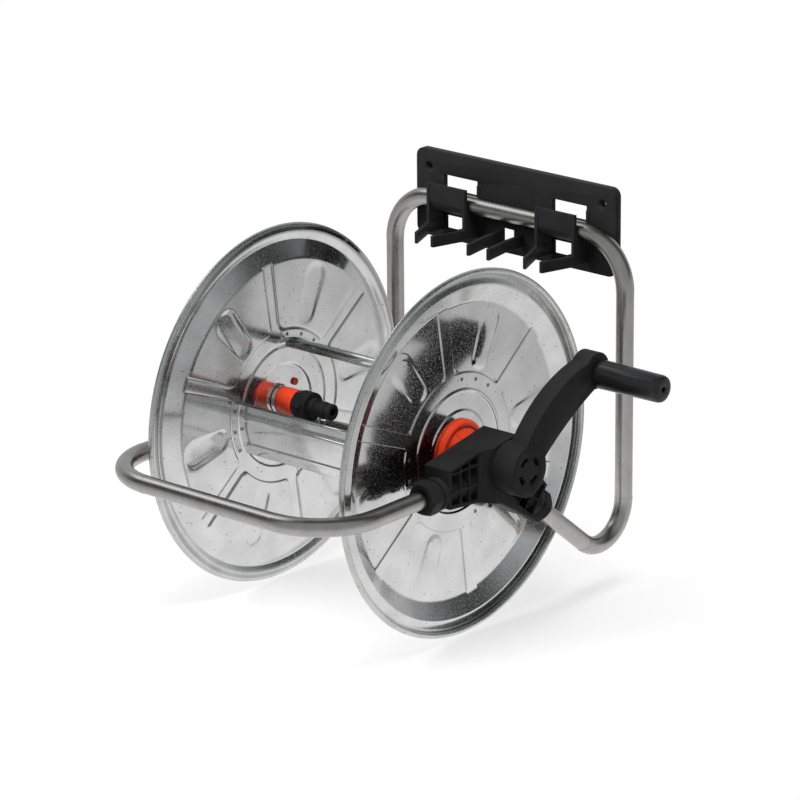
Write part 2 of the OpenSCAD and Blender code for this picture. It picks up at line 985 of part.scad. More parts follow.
// Still end of the water swivel on the far side, with the nipple for the supply hose
module inlet_swivel() {
    cup = journal_end - swivel_in + face_gap;
    color(black)
        on_axle()
            mirror([0, 0, 1])
                translate([0, 0, swivel_in])
                    difference() {
                        union() {
                            cylinder(d = swivel_d, h = swivel_len - 2 * block_wall);
                            translate([0, 0, swivel_len - 2 * block_wall - eps])
                                cylinder(d = swivel_d - 2 * block_wall, h = 2 * block_wall + eps);
                        }
                        translate([0, 0, -eps])
                            cylinder(r = journal_d / 2 + run_gap, h = cup + eps);
                        cylinder(d = water_d, h = swivel_len + eps);
                    }
}

module inlet_nipple() {
    color(black)
        on_axle()
            mirror([0, 0, 1])
                translate([0, 0, swivel_in + swivel_len])
                    nipple();
}

// Crank: round hub on the square end of the drive hub, arm between two flat arcs, boss for the grip pin
module crank_outline() {
    mid = crank_r / 2;
    end_top = crank_bow - bow_r + sqrt(bow_r * bow_r - mid * mid);
    end_low = belly - belly_r + sqrt(belly_r * belly_r - mid * mid);
    difference() {
        intersection() {
            translate([mid, crank_bow - bow_r])
                circle(bow_r, $fn = 4 * $fn);
            translate([0, -crank_hub_d])
                square([crank_r, 2 * crank_hub_d]);
        }
        translate([mid, belly - belly_r])
            circle(belly_r, $fn = 4 * $fn);
    }
    translate([crank_r, (end_top + end_low) / 2])
        circle(crank_end_r);
}

module crank_slots() {
    for (i = [0:3])
        rotate(crank_turn + i * 90)
            intersection() {
                difference() {
                    circle(slot_r + slot_w / 2);
                    circle(slot_r - slot_w / 2);
                }
                polygon([
                    [0, 0], [2 * slot_r, -2 * slot_r * tan(slot_arc / 2)],
                    [2 * slot_r, 2 * slot_r * tan(slot_arc / 2)]]);
            }
}

module crank_arm() {
    color(black)
        on_axle()
            difference() {
                union() {
                    translate([0, 0, crank_in])
                        cylinder(d = crank_hub_d, h = crank_hub_len);
                    rotate([0, 0, crank_turn])
                        translate([0, 0, arm_in])
                            linear_extrude(crank_arm_t)
                                crank_outline();
                }
                translate([-drive_w / 2, -drive_w / 2, crank_in - eps])
                    cube([drive_w, drive_w, drive_len + eps]);
                translate([0, 0, crank_out - slot_depth])
                    linear_extrude(slot_depth + eps)
                        crank_slots();
                translate([grip_y, grip_z, arm_in + block_wall])
                    cylinder(d = pin_d, h = crank_arm_t);
            }
}

module grip_pin() {
    pin_start = arm_in + block_wall;
    color(steel)
        on_axle()
            translate([grip_y, grip_z, pin_start])
                cylinder(d = pin_d, h = grip_in + grip_len - grip_end_wall - face_gap - pin_start);
}

// Grip: tapered sleeve with a rounded free end, turning on its pin
module crank_grip() {
    bore_r = pin_d / 2 + run_gap;
    edge = 2;
    color(black)
        on_axle()
            translate([grip_y, grip_z, grip_in])
                rotate_extrude()
                    polygon([
                        [bore_r, 0], [grip_d / 2 - edge, 0], [grip_d / 2, edge],
                        [grip_end_d / 2, grip_len - 2 * edge],
                        [grip_end_d / 2 - edge / 2, grip_len - edge / 2],
                        [grip_end_d / 2 - 2 * edge, grip_len], [grip_hole_d / 2, grip_len],
                        [grip_hole_d / 2, grip_len - grip_end_wall], [bore_r, grip_len - grip_end_wall]]);
}

wall_bracket();
rear_tube();
front_tube();
block_right();
block_left();
clamp_nuts_right();
clamp_nuts_left();
disc_right();
disc_left();
stave_upper();
stave_front();
stave_rear();
drive_hub();
water_hub();
outlet_body();
outlet_clip();
outlet_nut();
outlet_nipple();
crank_arm();
grip_pin();
crank_grip();
journal_seal();
inlet_swivel();
inlet_nipple();
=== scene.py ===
import json
import math

import bmesh
import bpy
from mathutils import Matrix, Vector


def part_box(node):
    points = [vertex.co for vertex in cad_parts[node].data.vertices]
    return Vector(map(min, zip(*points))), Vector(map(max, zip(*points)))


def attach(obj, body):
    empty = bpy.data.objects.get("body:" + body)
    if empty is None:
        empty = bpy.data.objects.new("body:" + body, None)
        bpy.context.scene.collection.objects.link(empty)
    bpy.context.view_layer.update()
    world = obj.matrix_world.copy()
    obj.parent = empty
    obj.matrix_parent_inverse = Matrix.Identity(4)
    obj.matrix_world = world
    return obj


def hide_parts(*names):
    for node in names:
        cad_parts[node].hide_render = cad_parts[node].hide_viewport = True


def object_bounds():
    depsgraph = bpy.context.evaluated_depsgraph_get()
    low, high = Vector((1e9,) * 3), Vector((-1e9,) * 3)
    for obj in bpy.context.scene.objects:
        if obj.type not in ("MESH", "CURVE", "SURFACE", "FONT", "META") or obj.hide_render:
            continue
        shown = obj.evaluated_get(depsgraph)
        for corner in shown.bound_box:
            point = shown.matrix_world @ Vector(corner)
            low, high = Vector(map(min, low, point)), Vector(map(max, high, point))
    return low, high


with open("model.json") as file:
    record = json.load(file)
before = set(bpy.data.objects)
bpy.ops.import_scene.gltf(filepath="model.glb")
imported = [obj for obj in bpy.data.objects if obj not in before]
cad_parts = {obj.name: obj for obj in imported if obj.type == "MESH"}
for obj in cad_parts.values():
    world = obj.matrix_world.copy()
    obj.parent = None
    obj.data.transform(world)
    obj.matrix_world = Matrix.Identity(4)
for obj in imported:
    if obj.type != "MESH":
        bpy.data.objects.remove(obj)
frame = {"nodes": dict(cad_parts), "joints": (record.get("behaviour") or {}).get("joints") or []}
cad_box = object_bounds()

# Camera: a long lens on the crank side of the reel and a little above it, tilted by half a degree.
# Its place and turn put the discs, the frame and the wall plate where the photograph has them.
view_turn = math.radians(40.74)
view_rise = math.radians(18.66)
view_roll = math.radians(-0.48)
camera_place = Vector((2.8158, -3.4584, 1.2747))
focal_pixels = 4566.4
image_pixels = 800

to_camera = Vector((
    math.sin(view_turn) * math.cos(view_rise),
    -math.cos(view_turn) * math.cos(view_rise),
    math.sin(view_rise)))
to_right = Vector((math.cos(view_turn), math.sin(view_turn), 0))
facing = Matrix((to_right, to_camera.cross(to_right), to_camera)).transposed()
facing = facing @ Matrix.Rotation(view_roll, 3, "Z")
camera = bpy.data.objects.new("camera", bpy.data.cameras.new("camera"))
camera.data.lens = camera.data.sensor_width * focal_pixels / image_pixels
camera.matrix_world = Matrix.Translation(camera_place) @ facing.to_4x4()
bpy.context.scene.collection.objects.link(camera)
bpy.context.scene.camera = camera
bpy.context.scene.view_settings.view_transform = "Standard"

# Studio: a white floor just under the reel that runs up into a white sweep behind it, a lit front, dim sides
# and ceiling, all mirrored by the zinc, and soft lamps, of which the zinc mirrors only the soft box.
# Near the reel the floor keeps its shadow.
mm = 0.001
floor_z = cad_box[0].z - 4 * mm
floor_half = 9.0
reel_middle = (0.0, -0.24, -0.2)

# Light with white as 1: mirrored from the sweep and the foot of every wall, from the front and from the
# dim rest, and the light that falls on all pieces from around.
sweep_light, front_light, dim_light = 0.62, 0.5, 0.06
ambient_light = 0.2

# Where the mirrored walls change, by how far a ray of length 1 goes up, and by how far it goes to the back.
wall_foot, wall_top = -0.02, 0.24
sweep_edge, sweep_full = 0.05, 0.85
front_full, front_edge = -0.5, 0.02

# Metres from the reel's middle over which the floor's shadow fades and its mirror image dims, and how much
# of the floor is plain white where the shadow is.
shadow_full, shadow_end = 0.2, 0.55
floor_bright, floor_dim = 0.15, 1.1
shadow_white = 0.66


def linear(hex_colour):
    """A six digit sRGB hex colour as linear red, green, blue and alpha."""
    parts = [int(hex_colour[i:i + 2], 16) / 255 for i in (0, 2, 4)]
    return [p / 12.92 if p <= 0.04045 else ((p + 0.055) / 1.055) ** 2.4 for p in parts] + [1.0]


def add_node(tree, kind, settings=None, inputs=None):
    """One shader node with its settings. An input is a value or the (node, output) that feeds it."""
    node = tree.nodes.new(kind)
    for name, value in (settings or {}).items():
        setattr(node, name, value)
    for name, value in (inputs or {}).items():
        if isinstance(value, tuple):
            tree.links.new(value[0].outputs[value[1]], node.inputs[name])
        else:
            node.inputs[name].default_value = value
    return node


def new_material(name):
    """A material and its node tree, which is still empty."""
    material = bpy.data.materials.new(name)
    material.use_nodes = True
    material.node_tree.nodes.clear()
    return material, material.node_tree


def piece_of(shape, name, material):
    """A finished mesh as an object at the origin, with smooth faces."""
    for face in shape.faces:
        face.smooth = True
    made = bpy.data.objects.new(name, bpy.data.meshes.new(name))
    shape.to_mesh(made.data)
    shape.free()
    made.data.materials.append(material)
    bpy.context.scene.collection.objects.link(made)
    return made


def add_lamp(name, place, size, watts, mirrored=False):
    """A square soft lamp that is aimed at the reel."""
    lamp = bpy.data.objects.new(name, bpy.data.lights.new(name, "AREA"))
    lamp.data.shape = "SQUARE"
    lamp.data.size = size
    lamp.data.energy = watts
    aimed = (Vector(reel_middle) - Vector(place)).to_track_quat("-Z", "Y").to_matrix()
    lamp.matrix_world = Matrix.Translation(place) @ aimed.to_4x4()
    lamp.visible_glossy = mirrored
    bpy.context.scene.collection.objects.link(lamp)


add_lamp("soft box", place=(-1.4, -0.6, 1.6), size=1.2, watts=7, mirrored=True)
add_lamp("key lamp", place=(-1.1, -1.9, 1.7), size=1.5, watts=90)
add_lamp("top lamp", place=(0.5, -0.6, 2.2), size=1.6, watts=100)
add_lamp("crank side lamp", place=(2.4, -0.9, 0.9), size=1.2, watts=5)

soft = {"interpolation_type": "SMOOTHSTEP"}
world = bpy.data.worlds.new("studio")
world.use_nodes = True
world.node_tree.nodes.clear()
tree = world.node_tree
ray = add_node(tree, "ShaderNodeLightPath")
way = add_node(tree, "ShaderNodeTexCoord")
height = add_node(tree, "ShaderNodeSeparateXYZ", inputs={"Vector": (way, "Generated")})
behind = add_node(tree, "ShaderNodeVectorMath", {"operation": "DOT_PRODUCT"}, {
    0: (way, "Generated"), 1: [-math.sin(view_turn), math.cos(view_turn), 0.0]})
low_wall = add_node(tree, "ShaderNodeMapRange", soft, {
    "Value": (height, "Z"), "From Min": wall_foot, "From Max": wall_top,
    "To Min": sweep_light, "To Max": dim_light})
sweep = add_node(tree, "ShaderNodeMapRange", soft, {
    "Value": (behind, "Value"), "From Min": sweep_edge, "From Max": sweep_full,
    "To Min": dim_light, "To Max": sweep_light})
front = add_node(tree, "ShaderNodeMapRange", soft, {
    "Value": (behind, "Value"), "From Min": front_full, "From Max": front_edge,
    "To Min": front_light, "To Max": dim_light})
walls = add_node(tree, "ShaderNodeMath", {"operation": "MAXIMUM"}, {
    0: (sweep, "Result"), 1: (front, "Result")})
bright = add_node(tree, "ShaderNodeMath", {"operation": "MAXIMUM"}, {
    0: (low_wall, "Result"), 1: (walls, "Value")})
mirrored = add_node(tree, "ShaderNodeBackground", inputs={
    "Color": linear("F8FBFC"), "Strength": (bright, "Value")})
ambient = add_node(tree, "ShaderNodeBackground", inputs={
    "Color": linear("F4F6F8"), "Strength": ambient_light})
white = add_node(tree, "ShaderNodeBackground", inputs={"Color": linear("FFFFFF"), "Strength": 1.0})
around = add_node(tree, "ShaderNodeMixShader", inputs={
    0: (ray, "Is Glossy Ray"), 1: (ambient, "Background"), 2: (mirrored, "Background")})
shown = add_node(tree, "ShaderNodeMixShader", inputs={
    0: (ray, "Is Camera Ray"), 1: (around, "Shader"), 2: (white, "Background")})
add_node(tree, "ShaderNodeOutputWorld", inputs={"Surface": (shown, "Shader")})
bpy.context.scene.world = world

# White floor paint: pale and matt where the reel's shadow falls, a plain white glow further off. In the zinc
# the floor is all glow, a painted light that is brightest near the reel and dims further off.
white_paint, tree = new_material("white floor paint")
ray = add_node(tree, "ShaderNodeLightPath")
place = add_node(tree, "ShaderNodeTexCoord")
reach = add_node(tree, "ShaderNodeVectorMath", {"operation": "DISTANCE"}, {
    0: (place, "Object"), 1: [reel_middle[0], reel_middle[1], floor_z]})
bare = add_node(tree, "ShaderNodeMapRange", soft, {
    "Value": (reach, "Value"), "From Min": shadow_full, "From Max": shadow_end,
    "To Min": shadow_white, "To Max": 1.0})
share = add_node(tree, "ShaderNodeMath", {"operation": "MULTIPLY_ADD"}, {
    0: (ray, "Is Camera Ray"), 1: (bare, "Result"), 2: (ray, "Is Glossy Ray")})
dimmed = add_node(tree, "ShaderNodeMapRange", soft, {
    "Value": (reach, "Value"), "From Min": floor_bright, "From Max": floor_dim,
    "To Min": 1.0, "To Max": sweep_light})
level = add_node(tree, "ShaderNodeMapRange", inputs={
    "Value": (ray, "Is Glossy Ray"), "To Min": 1.0, "To Max": (dimmed, "Result")})
paint = add_node(tree, "ShaderNodeBsdfDiffuse", inputs={"Color": linear("D6D6D6")})
glow = add_node(tree, "ShaderNodeEmission", inputs={
    "Color": linear("FFFFFF"), "Strength": (level, "Result")})
mixed = add_node(tree, "ShaderNodeMixShader", inputs={
    0: (share, "Value"), 1: (paint, "BSDF"), 2: (glow, "Emission")})
add_node(tree, "ShaderNodeOutputMaterial", inputs={"Surface": (mixed, "Shader")})

shape = bmesh.new()
bmesh.ops.create_grid(shape, x_segments=1, y_segments=1, size=floor_half)
bmesh.ops.translate(shape, verts=shape.verts, vec=(0, 0, floor_z))
floor = piece_of(shape, "floor", white_paint)


# Wall plate: one black injection moulding with two hooks, side walls and six prongs, held by two screws.
# The tool leaves a fine spark eroded grain, and every edge is broken by a small radius.
def rounded_copy(node, body, radius, material):
    """The shape of a CAD node with its triangles joined and its sharp edges rounded."""
    join_gap = 0.12 * mm
    flat_angle, sharp_angle = math.radians(1), math.radians(28)
    shape = bmesh.new()
    shape.from_mesh(frame["nodes"][node].data)
    bmesh.ops.remove_doubles(shape, verts=shape.verts, dist=join_gap)
    bmesh.ops.dissolve_limit(shape, angle_limit=flat_angle, verts=shape.verts, edges=shape.edges)
    made = piece_of(shape, f"rounded_{node}", material)
    rounding = made.modifiers.new("rounded edges", "BEVEL")
    rounding.width = radius
    rounding.segments = 2
    rounding.limit_method = "ANGLE"
    rounding.angle_limit = sharp_angle
    rounding.harden_normals = True
    rounding.use_clamp_overlap = False
    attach(made, body)
    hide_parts(node)


def moulding(name, colour, worn_colour, roughness, sheen, grain, grain_height):
    """Moulded plastic: a tool grain, drawn coarser than it is so that it shows, and broad soft clouds of
    tone and gloss from the flow of the melt and from handling."""
    cloud_size = 28 * mm
    smoother, duller = 0.04, 0.05
    material, tree = new_material(name)
    place = add_node(tree, "ShaderNodeTexCoord")
    pits = add_node(tree, "ShaderNodeTexNoise", inputs={
        "Vector": (place, "Object"), "Scale": 1 / grain, "Detail": 2.0, "Roughness": 0.5})
    clouds = add_node(tree, "ShaderNodeTexNoise", inputs={
        "Vector": (place, "Object"), "Scale": 1 / cloud_size, "Detail": 3.0, "Roughness": 0.55})
    tone = add_node(tree, "ShaderNodeMapRange", inputs={
        "Value": (clouds, "Fac"), "From Min": 0.3, "From Max": 0.75})
    tint = add_node(tree, "ShaderNodeMix", {"data_type": "RGBA"}, {0: (tone, "Result")})
    tint.inputs["A"].default_value = linear(colour)
    tint.inputs["B"].default_value = linear(worn_colour)
    rough = add_node(tree, "ShaderNodeMapRange", inputs={
        "Value": (clouds, "Fac"), "From Min": 0.3, "From Max": 0.7,
        "To Min": roughness - smoother, "To Max": roughness + duller})
    bump = add_node(tree, "ShaderNodeBump", inputs={
        "Strength": 1.0, "Distance": grain_height, "Height": (pits, "Fac")})
    plastic = add_node(tree, "ShaderNodeBsdfPrincipled", inputs={
        "Base Color": (tint, "Result"), "Roughness": (rough, "Result"), "Specular IOR Level": sheen,
        "Normal": (bump, "Normal")})
    add_node(tree, "ShaderNodeOutputMaterial", inputs={"Surface": (plastic, "BSDF")})
    return material


# Satin black nylon: dark, with a soft broad sheen that shows every flat as its own grey.
black_nylon = moulding(
    "satin black nylon", colour="1E1D1E", worn_colour="232223", roughness=0.34, sheen=0.025,
    grain=0.7 * mm, grain_height=0.012 * mm)
rounded_copy("wall_bracket", "bracket", 0.45 * mm, black_nylon)


# Frame tubes: two steel tubes, zinc coated and cold bent, with soft satin reflections along their length.
# The CAD tubes keep their shape and get the finish.
def zinc_tube():
    """Zinc plated tube: a smooth satin grey, with a slight haze of tone and gloss along it."""
    haze_size = 14 * mm
    smooth, hazy = 0.25, 0.31
    material, tree = new_material("zinc plated tube")
    place = add_node(tree, "ShaderNodeTexCoord")
    haze = add_node(tree, "ShaderNodeTexNoise", inputs={
        "Vector": (place, "Object"), "Scale": 1 / haze_size, "Detail": 2.0, "Roughness": 0.5})
    tone = add_node(tree, "ShaderNodeMapRange", inputs={
        "Value": (haze, "Fac"), "From Min": 0.3, "From Max": 0.7})
    tint = add_node(tree, "ShaderNodeMix", {"data_type": "RGBA"}, {0: (tone, "Result")})
    tint.inputs["A"].default_value = linear("A3A2A0")
    tint.inputs["B"].default_value = linear("B0AFAC")
    rough = add_node(tree, "ShaderNodeMapRange", inputs={
        "Value": (haze, "Fac"), "From Min": 0.3, "From Max": 0.7, "To Min": smooth, "To Max": hazy})
    steel = add_node(tree, "ShaderNodeBsdfPrincipled", inputs={
        "Metallic": 1.0, "Base Color": (tint, "Result"), "Roughness": (rough, "Result")})
    add_node(tree, "ShaderNodeOutputMaterial", inputs={"Surface": (steel, "BSDF")})
    return material


tube_finish = zinc_tube()
for node in ("rear_tube", "front_tube"):
    frame["nodes"][node].material_slots[0].material = tube_finish

# Bearing blocks and clamp nuts: black mouldings on the tube ends. The blocks are ribbed shells with the
# axle's bearing in the middle, and the hexagon nuts pull their split collars tight round the tubes.
for side in ("right", "left"):
    rounded_copy(f"block_{side}", "frame", 0.4 * mm, black_nylon)
    rounded_copy(f"clamp_nuts_{side}", "frame", 0.5 * mm, black_nylon)

# Discs: each is one round of bright galvanised sheet, pressed in a die. Six spokes and the middle stay
# level, the panels between them are pushed towards the drum, and a drop shaped boss stiffens each panel.
# A cone lifts the rim, and the edge is rolled outwards over itself.
axle = Vector(next(j["pos_m"] for j in frame["joints"] if j["name"] == "reel_spin"))
disc_low, disc_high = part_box("disc_right")
disc_r = (disc_high.y - disc_low.y) / 2
sheet = 1 * mm
bead_r = 3 * mm
bead_x = disc_high.x - bead_r
bead_points, bead_steps = 20, 360
web_x = bead_x - 9 * mm
middle_r = 80 * mm
panel_depth = 1.2 * mm
cone_r = disc_r - 35 * mm
cone_bend = 0.8 * mm
crest_r, crest_height = disc_r - 16.7 * mm, 8.8 * mm
crest_bend = 1.2 * mm
pole_gap = 0.01 * mm

# The rim falls from its crest to a crevice and rises to the rolled edge. Inside the crest this line is
# steep, so that the cone passes below it.
rim_marks = (0, crest_r, disc_r - 7.6 * mm, disc_r - bead_r)
rim_heights = (disc_r, crest_height, 5 * mm, 7 * mm)

# The hub's flange sits on a raised round, with a ridge at some distance round it.
seat_marks = [r * mm for r in (13, 41.6, 43.6, 60.2, 61.4, 62.8, 64.2, 90)]
seat_heights = [h * mm for h in (1.2, 1.2, 0, 0, 1.1, 1.1, 0, 0)]

spokes = 6
sector = 2 * math.pi / spokes
spoke_turn = math.radians(38)
spoke_half_in, spoke_half_out = 6.7 * mm, 8 * mm
spoke_slope = 0.8 * mm
spoke_corner = 5 * mm
drop_in, drop_in_r = 96 * mm, 12 * mm
drop_out, drop_out_r = 133 * mm, 15 * mm
drop_edge_in, drop_edge_out = 2.6 * mm, 8 * mm
drop_edge_inside = 0.7
drop_crown = 0.3 * mm

# The net of the sheet has rings from one radius to the next in so many steps, close where the sheet bends,
# and columns from a spoke's middle to a drop's middle that follow the edges of both.
ring_marks = (
    (13, 40, 3), (40, 46, 9), (46, 59, 3), (59, 66, 11), (66, 77, 4),
    (77, 83, 9), (83, 91, 4), (91, 100, 9), (100, 138, 19), (138, 148, 7),
    (148, 157, 12), (157, 165, 4), (165, 170, 9), (170, 178, 3), (178, 182, 8))
column_marks = (0, 2, 3, 8, 9, 15, 22, 27)
half_columns = column_marks[-1]
columns = 2 * half_columns * spokes
column_start = 70 * mm
drop_margins = (2.5 * mm, -3 * mm)

# By millimetres from the axle: how dark the painted shade in the rim's crevice is, and how far the die
# stretches the cone. The edges of the spokes get a painted shade too.
crevice_marks = (176.6, 177.6, 180, 181.2)
painted_crevice_shade = (0, 0.35, 0.35, 0)
painted_spoke_shade = 0.3
stretch_marks = (147, 151, 166, 169)
stretch_share = (0, 1, 1, 0)


def smooth_step(value, low, high):
    """0 up to low, 1 from high on, and a smooth rise between."""
    share = min(max((value - low) / (high - low), 0.0), 1.0)
    return share * share * (3 - 2 * share)


def soft_min(a, b, blend):
    """The smaller value, with the corner between the two rounded."""
    share = max(blend - abs(a - b), 0.0) / blend
    return min(a, b) - share * share * blend / 4


def between(value, marks, results):
    """The result on the broken line through marks and results, level beyond its ends."""
    if value <= marks[0]:
        return results[0]
    for i in range(1, len(marks)):
        if value <= marks[i]:
            share = (value - marks[i - 1]) / (marks[i] - marks[i - 1])
            return results[i - 1] + share * (results[i] - results[i - 1])
    return results[-1]


def round_axle(x, r, angle):
    """The point at a radius and an angle round the axle."""
    return Vector((x, axle.y + r * math.cos(angle), axle.z + r * math.sin(angle)))


def drop_distance(along, across):
    """Distance from the drop's outline, negative inside: two circles joined by their tangents."""
    span = drop_out - drop_in
    lean = (drop_in_r - drop_out_r) / span
    slant = math.sqrt(1 - lean * lean)
    x, y = abs(across), along - drop_in
    on_tangent = -lean * x + slant * y
    if on_tangent < 0:
        return math.hypot(x, y) - drop_in_r
    if on_tangent > slant * span:
        return math.hypot(x, y - span) - drop_out_r
    return slant * x + lean * y - drop_in_r


def spoke_half(r):
    """Half the width of a spoke, which widens a little outwards."""
    return between(r, (middle_r, cone_r), (spoke_half_in, spoke_half_out))


def off_spoke(r, turn):
    """Distance from the edge of the raised middle and its spokes, negative on them."""
    return soft_min(r - middle_r, abs(r * math.sin(turn)) - spoke_half(r), spoke_corner)


def pressed_height(r, turn):
    """Height of the sheet over the middle's level, turn counted from the middle of a spoke."""
    to_drop = sector / 2 - turn
    raised = 1 - smooth_step(off_spoke(r, turn), -spoke_slope / 2, spoke_slope / 2)
    along, across = r * math.cos(to_drop), r * math.sin(to_drop)
    outwards = smooth_step(along, drop_in - drop_in_r, drop_out)
    edge = drop_edge_in + outwards * (drop_edge_out - drop_edge_in)
    off_drop = drop_distance(along, across)
    boss = 1 - smooth_step(off_drop, -drop_edge_inside * edge, (1 - drop_edge_inside) * edge)
    crown = drop_crown * smooth_step(-off_drop, 0, drop_in_r)
    level = crown - panel_depth * (1 - max(raised, boss)) + between(r, seat_marks, seat_heights)
    cone = -panel_depth + (r - cone_r) * (crest_height + panel_depth) / (crest_r - cone_r)
    lifted = -soft_min(-level, -cone, cone_bend)
    return soft_min(lifted, between(r, rim_marks, rim_heights), crest_bend)


def column_turn(column, r):
    """Turn of a column of the net from the spoke's middle, so that columns follow spoke and drop edges."""
    reach = max(r, column_start)
    width = between(reach, (drop_in, drop_out), (drop_in_r, drop_out_r))
    foot = spoke_slope / 2
    spoke_margins = (-2 * foot, -foot, foot, 2 * foot)
    spoke_marks = [math.asin((spoke_half(reach) + off) / reach) for off in spoke_margins]
    drop_marks = [sector / 2 - math.asin((width + off) / reach) for off in drop_margins]
    return between(column, column_marks, [0] + spoke_marks + drop_marks + [sector / 2])


def face_towards(shape, way):
    """Turns the faces of an open sheet to the side that the way points to."""
    bmesh.ops.recalc_face_normals(shape, faces=shape.faces)
    if sum(face.normal.dot(way) for face in shape.faces) < 0:
        bmesh.ops.reverse_faces(shape, faces=shape.faces)


def thicken(piece):
    """Gives a surface the sheet's thickness on its inner side."""
    wall = piece.modifiers.new("sheet thickness", "SOLIDIFY")
    wall.thickness = sheet
    wall.offset = -1


def galvanised_sheet(name, colour, roughness, grit, grit_height):
    """Galvanised sheet, hot dipped and skin passed: it mirrors clearly, with soft clouds of tone and a few
    dark specks. A sandy grit, drawn coarse enough to show, breaks up the image, most where the die has
    stretched the sheet. Painted shade that the mesh carries darkens it further."""
    cloud_size, speck_pitch = 30 * mm, 8 * mm
    cloud_shade, grain_shade = 0.84, 0.88
    speck_core, speck_edge, speck_shade = 0.06, 0.11, 0.7
    grit_low, grit_high, grit_roughness = 0.59, 0.69, 0.35
    stretch_grit = 0.03
    material, tree = new_material(name)
    place = add_node(tree, "ShaderNodeTexCoord")
    clouds = add_node(tree, "ShaderNodeTexNoise", inputs={
        "Vector": (place, "Object"), "Scale": 1 / cloud_size, "Detail": 3.0, "Roughness": 0.5})
    sand = add_node(tree, "ShaderNodeTexNoise", inputs={
        "Vector": (place, "Object"), "Scale": 1 / grit, "Detail": 3.0, "Roughness": 0.65})
    specks = add_node(tree, "ShaderNodeTexVoronoi", {"feature": "F1"}, {
        "Vector": (place, "Object"), "Scale": 1 / speck_pitch, "Randomness": 1.0})
    cloud_tone = add_node(tree, "ShaderNodeMapRange", inputs={
        "Value": (clouds, "Fac"), "From Min": 0.3, "From Max": 0.7, "To Min": cloud_shade, "To Max": 1.0})
    grain_tone = add_node(tree, "ShaderNodeMapRange", inputs={
        "Value": (sand, "Fac"), "From Min": 0.35, "From Max": 0.6, "To Min": grain_shade, "To Max": 1.0})
    tone = add_node(tree, "ShaderNodeMath", {"operation": "MULTIPLY"}, {
        0: (cloud_tone, "Result"), 1: (grain_tone, "Result")})
    speck = add_node(tree, "ShaderNodeMapRange", inputs={
        "Value": (specks, "Distance"), "From Min": speck_core, "From Max": speck_edge,
        "To Min": speck_shade, "To Max": 0.0})
    # Painted shade carried by the mesh darkens the zinc, as the specks do.
    fold = add_node(tree, "ShaderNodeAttribute", {"attribute_name": "fold"})
    dark = add_node(tree, "ShaderNodeMath", {"operation": "MAXIMUM"}, {
        0: (speck, "Result"), 1: (fold, "Fac")})
    shade = add_node(tree, "ShaderNodeMath", {"operation": "SUBTRACT", "use_clamp": True}, {
        0: (tone, "Value"), 1: (dark, "Value")})
    tint = add_node(tree, "ShaderNodeMix", {"data_type": "RGBA"}, {0: (shade, "Value")})
    tint.inputs["A"].default_value = linear("202122")
    tint.inputs["B"].default_value = linear(colour)
    stretch = add_node(tree, "ShaderNodeAttribute", {"attribute_name": "stretch"})
    drawn = add_node(tree, "ShaderNodeMath", {"operation": "MULTIPLY_ADD"}, {
        0: (stretch, "Fac"), 1: stretch_grit, 2: (sand, "Fac")})
    grains = add_node(tree, "ShaderNodeMapRange", inputs={
        "Value": (drawn, "Value"), "From Min": grit_low, "From Max": grit_high})
    rough = add_node(tree, "ShaderNodeMapRange", inputs={
        "Value": (grains, "Result"), "To Min": roughness, "To Max": roughness + grit_roughness})
    bump = add_node(tree, "ShaderNodeBump", inputs={
        "Strength": 1.0, "Distance": grit_height, "Height": (grains, "Result")})
    zinc = add_node(tree, "ShaderNodeBsdfPrincipled", inputs={
        "Metallic": 1.0, "Base Color": (tint, "Result"), "Roughness": (rough, "Result"),
        "Normal": (bump, "Normal")})
    add_node(tree, "ShaderNodeOutputMaterial", inputs={"Surface": (zinc, "BSDF")})
    return material


# Skin passed sheet is nearly a mirror, and the rolled edge is duller and more grainy from the rollers.
bright_zinc = galvanised_sheet(
    "galvanised sheet, skin passed", colour="DEDEDE", roughness=0.12, grit=1.0 * mm, grit_height=0.035 * mm)
rolled_zinc = galvanised_sheet(
    "galvanised sheet, rolled edge", colour="D4D4D3", roughness=0.26, grit=1.3 * mm, grit_height=0.3 * mm)

